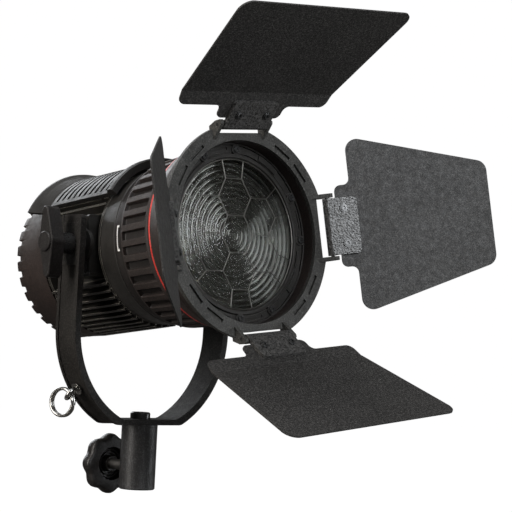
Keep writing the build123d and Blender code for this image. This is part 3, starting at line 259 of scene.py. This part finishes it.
def lens_glass(name):
    """Clear moulded glass, stippled all over, with painted glints: pale colour along its step edges and in specks.

    Part of the light passes straight through. The painted glints are strongest to the two sides of the lens.
    """
    shade = Shade(name)
    soft, _ = shade.soft_edges(0.16 * MM)
    stipple = shade.noise(1100.0, 3.0, 0.7)
    waves = shade.noise(300.0, 2.0)
    height = shade.maths("ADD", stipple, shade.maths("MULTIPLY", waves, 0.25))
    radius = shade.axis_distance()
    zone = shade.maths("DIVIDE", shade.maths("SUBTRACT", radius, LENS_FIRST * MM), LENS_PITCH * MM)
    step_edge = shade.spread(shade.maths("FRACT", zone), 0.0, 0.24, 1.0, 0.0)
    # Side sectors where the painted glints are strongest.
    sideways = shade.from_pivot("DOT_PRODUCT", SIDE * 0.94 - UP * 0.34).outputs["Value"]
    sector = shade.maths("ABSOLUTE", shade.maths("DIVIDE", sideways, radius))
    shade.link(Base_Color=(0.93, 0.95, 0.92), Roughness=shade.spread(stipple, 0.3, 0.7, 0.04, 0.14),
               Transmission_Weight=1.0, IOR=1.49, Normal=shade.bump(height, 0.30 * MM, soft))
    clear = shade.add("ShaderNodeBsdfTransparent")
    clear.inputs["Color"].default_value = (0.50, 0.50, 0.46, 1)
    blend = shade.add("ShaderNodeMixShader", {1: shade.shader.outputs[0], 2: clear.outputs[0]}, Fac=0.42)
    # Painted glints: a pale diffuse layer that stands in for reflections of the lights in the steps, on step edges
    # and specks, strongest in the two side sectors.
    painted_glint = shade.add("ShaderNodeBsdfDiffuse")
    painted_glint.inputs["Color"].default_value = (0.80, 0.82, 0.78, 1)
    # Specks of painted glint, kept to the side sectors.
    specks = shade.spread(shade.cells(760.0), 0.26, 0.08, 0.0, 0.75)
    streaks = shade.spread(shade.noise(60.0, 2.0), 0.35, 0.65, -0.15, 0.15)
    glint_patches = shade.spread(shade.maths("ADD", sector, streaks), 0.60, 1.0)
    glint_arcs = shade.maths("MULTIPLY", step_edge, shade.spread(glint_patches, 0.0, 1.0, 0.05, 0.72))
    glint_mask = shade.maths("MAXIMUM", glint_arcs, shade.maths("MULTIPLY", specks, glint_patches))
    final = shade.add("ShaderNodeMixShader", {0: glint_mask, 1: blend.outputs[0], 2: painted_glint.outputs[0]})
    surface = shade.tree.nodes["Material Output"].inputs["Surface"]
    shade.tree.links.new(final.outputs[0], surface)
    return shade.material


def red_anodised(name):
    """Red anodised aluminium with fine turning marks."""
    shade = Shade(name)
    soft, worn_and_lit_edges = shade.soft_edges(0.25 * MM)
    marks = shade.noise(900.0, 2.0, 0.5)
    tone = shade.mix(shade.spread(marks, 0.35, 0.65), (0.60, 0.035, 0.030), (0.80, 0.070, 0.055))
    # Paler edges: painted edge highlight plus rubbed wear.
    shade.link(Base_Color=shade.mix(worn_and_lit_edges, tone, (0.9, 0.22, 0.18)), Metallic=0.25,
               Specular_IOR_Level=0.5, Roughness=shade.spread(marks, 0.3, 0.7, 0.26, 0.38),
               Normal=shade.bump(marks, 0.01 * MM, soft))
    return shade.material


MATERIALS = {}


def add_material(recipe, name, *values, **settings):
    MATERIALS[name] = recipe(name, *values, **settings)


# The edge factor lightens the edges, for rubbed wear plus a painted edge highlight; it is strongest on the fins.
add_material(coated, "yoke_powder_coat", (0.0130, 0.0118, 0.0108), rough=0.6, grain=900, depth=0.11,
             specks=0.35, edge=5.0, grit=0.4, specular=0.18)
add_material(coated, "receiver_texture", (0.023, 0.023, 0.024), rough=0.42, grain=900, depth=0.20,
             specks=0.5, edge=1.8)
add_material(coated, "body_cast", (0.013, 0.012, 0.011), rough=0.42, grain=1200, depth=0.06,
             specks=0.12, edge=8.0)
add_material(coated, "fin_cast", (0.016, 0.015, 0.013), rough=0.34, grain=1200, depth=0.04,
             edge=24.0, radius=0.7, specular=0.6)
add_material(coated, "rear_moulding", (0.0175, 0.0115, 0.0098), rough=0.52, grain=900, depth=0.08,
             specks=0.2, edge=2.2)
# The focus ring's pocket floors get painted shade through sunk.
add_material(coated, "focus_rubber", (0.021, 0.0155, 0.0140), rough=0.52, grain=850, depth=0.10,
             specks=0.18, edge=4.0, grit=0.35, sunk=(62.4, 64.6))
add_material(coated, "knob_plastic", (0.013, 0.0115, 0.011), rough=0.40, grain=850, depth=0.13,
             specks=0.3, edge=4.0, grit=0.4)
add_material(coated, "barndoor_cast", (0.034, 0.033, 0.0305), rough=0.46, grain=900, depth=0.10,
             specks=0.25, edge=2.4, grit=0.45)
add_material(coated, "door_sheet", (0.0225, 0.0212, 0.0200), rough=0.54, grain=820, depth=0.16,
             specks=0.4, edge=3.0, clouds=0.08, dust=0.015, specular=0.32, grit=0.6)
add_material(coated, "black_steel", (0.014, 0.014, 0.014), rough=0.28, grain=2200, depth=0.01,
             edge=5.0, specular=0.6, dust=0.0)
add_material(coated, "friction_fibre", (0.02, 0.02, 0.02), rough=0.7, grain=700, depth=0.1, edge=1.3)
add_material(coated, "component_black", (0.012, 0.012, 0.012), rough=0.4, grain=1800, depth=0.02,
             edge=1.6)
add_material(coated, "mark_white", (0.78, 0.78, 0.76), rough=0.45, grain=1500, depth=0.01,
             edge=1.0, clouds=0.05)
add_material(hammertone, "hammertone_steel", (0.026, 0.025, 0.024))
add_material(bare_metal, "chrome", (0.44, 0.43, 0.41), rough=0.22, depth=0.0008, radius=0.1,
             smudge=0.06)
add_material(bare_metal, "ground_steel", (0.42, 0.41, 0.39), rough=0.24, brushed=(1, 8, 1))
add_material(bare_metal, "guard_wire", (0.13, 0.125, 0.115), rough=0.36)
add_material(bare_metal, "bare_aluminium", (0.40, 0.40, 0.40), rough=0.34, brushed=(1, 1, 12))
add_material(phosphor, "phosphor")
add_material(circuit_board, "circuit_board")
add_material(lens_glass, "lens_glass")
add_material(red_anodised, "accent_red")


def paint(piece, material):
    piece.data.materials.clear()
    piece.data.materials.append(MATERIALS[material])


NODE_SLOTS = {row["node"]: row["material_slot"] for row in frame["record"]["subparts"]}
OWN_TEXTURE = {"stand_receiver": "receiver_texture", "body_shell": "fin_cast", "lock_screw": "ground_steel",
               "front_barrel": "rear_moulding"}
for node_name, node in frame["nodes"].items():
    paint(node, OWN_TEXTURE.get(node_name, NODE_SLOTS[node_name]))


# =====================================================================================
# Mesh helpers
# =====================================================================================
def finish_piece(name, mesh_data, body, slot, replaced, sharp=40.0):
    """Cleans a bmesh and makes it a smooth-shaded piece that rides on a body in place of CAD nodes."""
    bmesh.ops.remove_doubles(mesh_data, verts=mesh_data.verts, dist=1e-6)
    bmesh.ops.recalc_face_normals(mesh_data, faces=mesh_data.faces)
    mesh = bpy.data.meshes.new(name)
    mesh_data.to_mesh(mesh)
    mesh_data.free()
    mesh.shade_smooth()
    mesh.set_sharp_from_angle(angle=math.radians(sharp))
    piece = bpy.data.objects.new(name, mesh)
    bpy.context.scene.collection.objects.link(piece)
    paint(piece, slot)
    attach(piece, body)
    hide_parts(*replaced)
    return piece


def turned(origin, axis, start, angles, section):
    """Grid of section points at each angle round an axis; section(angle) gives (radius, station) in mm."""
    grid = bmesh.new()
    across = axis.cross(start).normalized()
    rows = []
    for angle in angles:
        out = start * math.cos(math.radians(angle)) + across * math.sin(math.radians(angle))
        rows.append([grid.verts.new(origin + (out * radius + axis * station) * MM)
                     for radius, station in section(angle)])
    add_faces(grid, rows)
    return grid


def add_faces(grid, rows, cyclic=True):
    """Quads between neighbouring rows of vertices; each row is a closed loop."""
    count = len(rows[0])
    for index in range(len(rows) if cyclic else len(rows) - 1):
        row, following = rows[index], rows[(index + 1) % len(rows)]
        for place in range(count):
            corner = (place + 1) % count
            grid.faces.new((row[place], following[place], following[corner], row[corner]))


def tube(grid, points, radius, sides, cyclic=False):
    """Round wire along points, which are world positions; the radius is in mm."""
    rows = []
    count = len(points)
    tangents = []
    for index in range(count):
        before = points[index - 1] if cyclic or index else points[index]
        after = points[(index + 1) % count] if cyclic or index < count - 1 else points[index]
        tangents.append((after - before).normalized())
    normal = tangents[0].orthogonal().normalized()
    for point, tangent in zip(points, tangents):
        normal = (normal - tangent * normal.dot(tangent)).normalized()
        across = tangent.cross(normal)
        turns = [2 * math.pi * step / sides for step in range(sides)]
        spokes = [normal * math.cos(turn) + across * math.sin(turn) for turn in turns]
        rows.append([grid.verts.new(point + spoke * radius * MM) for spoke in spokes])
    add_faces(grid, rows, cyclic)
    if not cyclic:
        grid.faces.new(rows[0])
        grid.faces.new(list(reversed(rows[-1])))


def smooth_step(value, low, high):
    """Eases from 0 at low to 1 at high."""
    share = min(1.0, max(0.0, (value - low) / (high - low)))
    return share * share * (3 - 2 * share)


def between(value, stops):
    """Piecewise linear value along (place, value) stops."""
    for (low, first), (high, second) in zip(stops, stops[1:]):
        if value <= high:
            return first + (second - first) * max(0.0, value - low) / (high - low)
    return stops[-1][1]


def head_turned(angles, section):
    """A grid turned round the head's axis; stations are measured forward from the tilt pivot."""
    return turned(PIVOT, FORWARD, SIDE, angles, section)


def pitch_angles(count, offsets):
    """The same offsets, in degrees, round each of count evenly spaced places."""
    return [360.0 / count * index + offset for index in range(count) for offset in offsets]


def mirrored(offsets):
    """The offsets on both sides of zero, with zero itself."""
    return [-offset for offset in reversed(offsets)] + [0.0] + list(offsets)


# =====================================================================================
# Focus ring: rubber grip with soft-edged pockets
# =====================================================================================
POCKETS = 36
POCKET_MIDDLE, POCKET_HALF_LENGTH, POCKET_HALF_WIDTH = 63.0, 14.0, 3.1
POCKET_FLOOR = 62.2
POCKET_CORNER = 0.8
GRIP_START = 47
RING_REAR, RING_FRONT, RING_BORE_R = 35.8, 84.0, 58.35
RING_RADII = [(RING_REAR, 61.2), (36.2, 61.6), (37.0, 61.9), (44.0, 62.3), (45.2, 63.0), (47.0, 64.6),
              (48.0, 64.95), (78.5, 66.3), (79.5, 66.05), (80.6, 66.0), (82.0, 66.35), (83.4, 66.3),
              (RING_FRONT, 65.9)]


def make_focus_ring():
    """Stepped collar and pocketed grip; the stations are dense where the shape turns."""
    collar = [RING_REAR, 36.1, 36.6, 37.4, 40.0, 43.4, 44.0, 44.8, 45.6, 46.4, 47.0, 47.6, 48.2]
    pocket_start = [48.7, 49.0, 49.3, 49.7, 50.2, 51.0]
    pocket = [54.0 + 3.0 * step for step in range(7)]
    pocket_end = [75.0, 75.8, 76.3, 76.7, 77.0, 77.4, 78.0]
    lip = [78.7, 79.2, 79.8, 80.6, 81.4, 82.2, 83.0, 83.5, 83.8, RING_FRONT]
    stations = collar + pocket_start + pocket + pocket_end + lip

    def section(angle):
        offset = (angle + 180.0 / POCKETS) % (360.0 / POCKETS) - 180.0 / POCKETS
        points = []
        for station in stations:
            radius = between(station, RING_RADII)
            width_out = abs(math.radians(offset) * radius) - POCKET_HALF_WIDTH + POCKET_CORNER
            length_out = abs(station - POCKET_MIDDLE) - POCKET_HALF_LENGTH + POCKET_CORNER
            inside = min(max(width_out, length_out), 0.0)
            outside = math.hypot(max(width_out, 0.0), max(length_out, 0.0)) + inside
            if station > GRIP_START:
                radius -= (radius - POCKET_FLOOR) * smooth_step(POCKET_CORNER - outside, -0.35, 0.5)
            points.append((radius, station))
        return points + [(RING_BORE_R, RING_FRONT), (RING_BORE_R, RING_REAR)]

    offsets = mirrored([0.8, 1.6, 2.05, 2.3, 2.5, 2.65, 2.8, 3.0, 3.3, 3.8, 4.4])
    grid = head_turned(pitch_angles(POCKETS, offsets), section)
    finish_piece("focus_grip", grid, "focus_ring", "focus_rubber", ["focus_ring"], sharp=50)


# =====================================================================================
# Rear drum with castellated rim
# =====================================================================================
NOTCHES = 30


def make_rear_drum():
    """Hollow drum, slightly tapered, whose rear rim has soft notches."""
    front, rear, notch_floor = -55.6, -93.0, -89.3

    def section(angle):
        offset = abs((angle + 180.0 / NOTCHES) % (360.0 / NOTCHES) - 180.0 / NOTCHES)
        cut = 1 - smooth_step(offset, 1.75, 2.6)
        rim = rear + (notch_floor - rear) * cut
        swell = 0.35 * (1 - cut)
        outer = [(61.5, front), (61.5, -60.0), (61.5, -66.0), (61.2, -70.0), (60.9, -76.0), (60.5, -82.0),
                 (60.3 + swell * 0.6, -86.0), (60.1 + swell, rim + 1.4),
                 (59.7 + swell, rim + 0.5), (59.1 + swell, rim + 0.12), (58.4, rim)]
        inner = [(56.2, rim), (55.5, rim + 0.2), (55.2, rim + 0.7), (56.2, -86.6), (56.3, -86.0),
                 (55.0, -85.9),
                 (58.2, -82.0), (58.8, front)]
        return outer + inner

    offsets = mirrored([0.9, 1.5, 1.8, 2.0, 2.2, 2.4, 2.7, 3.4, 4.4, 5.4])
    grid = head_turned(pitch_angles(NOTCHES, offsets), section)
    finish_piece("rear_drum", grid, "head", "rear_moulding", ["rear_cover"], sharp=55)


# =====================================================================================
# Lens and wire guard
# =====================================================================================
def make_lens():
    """Stepped fresnel front over a flat back."""
    back, top, zones = 96.0, 99.6, 11
    dome_fall, first_fall, last_fall = 0.8, 1.5, 2.5
    rim_inner, rim_outer, rim_rise = 57.5, 60.2, 0.3

    def section(_):
        points = [(0.0, back), (0.0, top)]
        points += [(radius, top - dome_fall * (radius / LENS_FIRST) ** 2)
                   for radius in (1.5, 3.0, 4.5, 6.0, 7.4, 8.5)]
        for zone in range(zones):
            inner = LENS_FIRST + LENS_PITCH * zone
            fall = first_fall + (last_fall - first_fall) * zone / zones
            points.append((inner + 0.12, top))
            points += [(inner + LENS_PITCH * share, top - fall * share ** 1.25)
                       for share in (0.3, 0.55, 0.8, 1.0)]
        return points + [(rim_inner, top + rim_rise), (rim_outer, top + rim_rise), (rim_outer, back)]

    grid = head_turned([2.0 * step for step in range(180)], section)
    finish_piece("fresnel_glass", grid, "head", "lens_glass", ["fresnel_lens"], sharp=25)


def make_guard():
    """Honeycomb of round wires, soldered to a rim wire."""
    cell, turn, station = 16.0, math.radians(2.5), 103.6
    rim, wire, rim_wire = 56.2, 0.38, 0.45

    def at(x, y):
        side = x * math.cos(turn) - y * math.sin(turn)
        return head_at(side, x * math.sin(turn) + y * math.cos(turn), station)

    def ring_of(reach, angle):
        return reach * math.cos(math.radians(angle)), reach * math.sin(math.radians(angle))

    centres = [(0.0, 0.0)] + [ring_of(cell * math.sqrt(3), angle) for angle in range(30, 390, 60)]
    corner_steps = [ring_of(cell, angle) for angle in range(0, 360, 60)]
    edges = set()
    for x, y in centres:
        corners = [(round(x + step_x, 3), round(y + step_y, 3)) for step_x, step_y in corner_steps]
        edges |= {tuple(sorted((corners[index], corners[index - 1]))) for index in range(6)}
    ends = [point for edge in edges for point in edge]
    for x, y in sorted(set(ends)):
        reach = math.hypot(x, y)
        shared_by_one_cell = ends.count((x, y)) == 2
        if reach > 2.3 * cell and shared_by_one_cell:
            edges.add(((x, y), (x * rim / reach, y * rim / reach)))
    grid = bmesh.new()
    for (x0, y0), (x1, y1) in sorted(edges):
        tube(grid, [at(x0, y0), at((x0 + x1) / 2, (y0 + y1) / 2), at(x1, y1)], wire, 8)
    for x, y in sorted(set(ends)):
        bmesh.ops.create_icosphere(grid, subdivisions=2, radius=wire * 1.25 * MM,
                                   matrix=Matrix.Translation(at(x, y)))
    rim_points = [head_at(*ring_of(rim, angle), station) for angle in range(0, 360, 3)]
    tube(grid, rim_points, rim_wire, 8, cyclic=True)
    finish_piece("guard_wires", grid, "head", "guard_wire", ["wire_guard"])


# =====================================================================================
# Lock knob and split ring
# =====================================================================================
KNOB_RIBS = (8.45, 11.05)


def make_lock_knob():
    """Star knob with eight soft lobes and a recess with two ribs round its screw."""
    low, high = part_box("lock_knob")
    centre = (low + high) / 2
    near, far = low.y / MM, high.y / MM
    middle = (near + far) / 2
    floor = near + 6.4
    peak = (high.x - low.x) / 2 / MM
    origin = Vector((centre.x, 0, centre.z))

    def section(angle):
        lobe = 0.5 + 0.5 * math.cos(math.radians(8 * angle))
        reach = peak - 2.3 * (1 - lobe ** 0.8)
        outer = [(13.2, near), (reach - 3.4, near), (reach - 1.6, near + 0.35), (reach - 0.7, near + 1.1),
                 (reach - 0.15, near + 2.4), (reach, middle), (reach - 0.2, far - 3.2),
                 (reach - 0.9, far - 1.5), (reach - 2.0, far - 0.5), (reach - 4.2, far)]
        back = [(9.0, far), (8.0, far - 0.5), (0.0, far - 0.5)]
        screw_well = [(0.0, near + 8.9), (4.1, near + 8.9), (4.1, near + 0.2), (4.5, near),
                      (6.0, near), (6.3, near + 0.3), (6.5, floor)]
        ribs = []
        for rib in KNOB_RIBS:
            ribs += [(rib - 0.65, floor), (rib - 0.45, near + 4.7), (rib + 0.45, near + 4.5),
                     (rib + 0.65, floor)]
        return outer + back + screw_well + ribs + [(12.8, floor), (13.0, near + 0.5)]

    grid = turned(origin, Vector((0, 1, 0)), SIDE, [2.5 * step for step in range(144)], section)
    finish_piece("lock_knob_grip", grid, "lock_knob", "knob_plastic", ["lock_knob"], sharp=40)


RING_TURN = math.radians(75)


def make_split_ring():
    """Two turns of chromed wire, side by side, with a crossing where one turn passes into the other."""
    ring = frame["nodes"]["safety_ring"].data
    centre = sum((vertex.co for vertex in ring.vertices), Vector()) / len(ring.vertices)
    normal = Vector((-math.sin(RING_TURN), -math.cos(RING_TURN), 0))
    start = normal.orthogonal().normalized()
    across = normal.cross(start)
    loop, wire, half_gap = 10.3, 1.2, 1.1
    points = []
    steps = 160
    for step in range(steps + 1):
        share = 2 * step / steps
        side = half_gap * (2 * smooth_step(share, 0.93, 1.07) - 1)
        turn = 2 * math.pi * share + 0.6
        out = start * math.cos(turn) + across * math.sin(turn)
        points.append(centre + (out * loop + normal * side) * MM)
    grid = bmesh.new()
    tube(grid, points, wire, 14)
    finish_piece("split_ring", grid, "safety_ring", "chrome", ["safety_ring"], sharp=60)


make_focus_ring()
make_rear_drum()
make_lens()
make_guard()
make_lock_knob()
make_split_ring()


# =====================================================================================
# Studio
# =====================================================================================
def make_camera():
    """A 120 mm lens at the left front, a little below the head's height."""
    azimuth, elevation, roll = math.radians(-42.38), math.radians(-2.96), math.radians(2.73)
    distance, right_shift, up_shift = 1.3345, 0.08831, 0.08167
    back = Vector((math.sin(azimuth) * math.cos(elevation), -math.cos(azimuth) * math.cos(elevation),
                   math.sin(elevation)))
    right = Vector((math.cos(azimuth), math.sin(azimuth), 0))
    up = back.cross(right)
    rolled_right = right * math.cos(roll) + up * math.sin(roll)
    rolled_up = up * math.cos(roll) - right * math.sin(roll)
    place = Vector((0, 0, 0.1)) + back * distance + rolled_right * right_shift + rolled_up * up_shift
    camera = bpy.data.objects.new("camera", bpy.data.cameras.new("camera"))
    bpy.context.scene.collection.objects.link(camera)
    camera.data.lens = 120.0
    camera.data.sensor_width = 36.0
    axes = Matrix((rolled_right, rolled_up, back)).transposed()
    camera.matrix_world = Matrix.Translation(place) @ axes.to_4x4()
    bpy.context.scene.camera = camera


LIGHT_AIM = Vector((0, -0.05, 0.17))


def soft_box(name, direction, distance, size, power, colour):
    """Rectangular area light that faces the lamp from that direction; lengths in metres, power in watts."""
    light = bpy.data.lights.new(name, "AREA")
    light.color = colour
    light.shape = "RECTANGLE"
    light.size, light.size_y = size
    light.energy = power
    lamp = bpy.data.objects.new(name, light)
    bpy.context.scene.collection.objects.link(lamp)
    toward = Vector(direction).normalized()
    lamp.location = LIGHT_AIM + toward * distance
    lamp.rotation_mode = "QUATERNION"
    lamp.rotation_quaternion = toward.to_track_quat("Z", "Y")


def stage_material(name, colour):
    """Matt surface that glows evenly white, so that the lamp stands out against it."""
    shade = Shade(name)
    grain = shade.noise(40.0, 3.0)
    shade.link(Base_Color=shade.mix(grain, colour, lighter(colour, 1.02)), Roughness=0.8,
               Emission_Color=(1.0, 1.0, 1.0), Emission_Strength=1.0)
    return shade.material


def keep_off_object(item):
    """The stage is seen by the camera but lights and mirrors nothing."""
    item.visible_diffuse = False
    item.visible_transmission = False
    item.visible_glossy = False
    item.visible_shadow = False


def make_stage():
    """A pale floor well under the lamp, inside a large white sphere."""
    floor_mesh = bmesh.new()
    bmesh.ops.create_grid(floor_mesh, x_segments=1, y_segments=1, size=12.0)
    floor = bpy.data.objects.new("floor", bpy.data.meshes.new("floor"))
    floor_mesh.to_mesh(floor.data)
    floor_mesh.free()
    floor.location.z = -0.6
    floor.data.materials.append(stage_material("floor_white", (0.10, 0.10, 0.10)))
    sky_mesh = bmesh.new()
    bmesh.ops.create_icosphere(sky_mesh, subdivisions=4, radius=16.0)
    sky = bpy.data.objects.new("backdrop", bpy.data.meshes.new("backdrop"))
    sky_mesh.to_mesh(sky.data)
    sky_mesh.free()
    sky.data.materials.append(stage_material("backdrop_white", (0.0, 0.0, 0.0)))
    for item in (floor, sky):
        keep_off_object(item)
        bpy.context.scene.collection.objects.link(item)


def make_world():
    """Dim surroundings, lighter overhead than underneath."""
    world = bpy.data.worlds.new("studio")
    bpy.context.scene.world = world
    world.use_nodes = True
    tree = world.node_tree
    direction = tree.nodes.new("ShaderNodeTexCoord")
    parts = tree.nodes.new("ShaderNodeSeparateXYZ")
    ramp = tree.nodes.new("ShaderNodeMapRange")
    for name, value in zip(("From Min", "From Max", "To Min", "To Max"), (-0.8, 1.0, 0.085, 0.125)):
        ramp.inputs[name].default_value = value
    tree.links.new(direction.outputs["Generated"], parts.inputs[0])
    tree.links.new(parts.outputs["Z"], ramp.inputs["Value"])
    background = tree.nodes["Background"]
    background.inputs["Color"].default_value = (1.0, 0.95, 0.90, 1)
    tree.links.new(ramp.outputs["Result"], background.inputs["Strength"])


def make_lights():
    """Soft boxes round the lamp: one on each side, one behind, one overhead."""
    warm, cool = (1.0, 0.955, 0.90), (0.93, 0.965, 1.0)
    soft_box("left_box", (-1.0, 0.10, 0.32), 1.5, (0.45, 1.5), 24, warm)
    soft_box("front_box", (-0.10, -1.0, 0.30), 1.8, (0.7, 0.9), 27, cool)
    soft_box("right_box", (1.0, -0.60, -0.10), 1.6, (0.3, 0.5), 3.5, cool)
    soft_box("rear_box", (0.15, 1.0, 0.35), 1.8, (1.0, 0.9), 14, cool)
    soft_box("top_box", (-0.1, -0.05, 1.0), 1.6, (1.4, 0.9), 16, cool)
    bpy.context.scene.view_settings.view_transform = "Standard"


make_camera()
make_stage()
make_world()
make_lights()
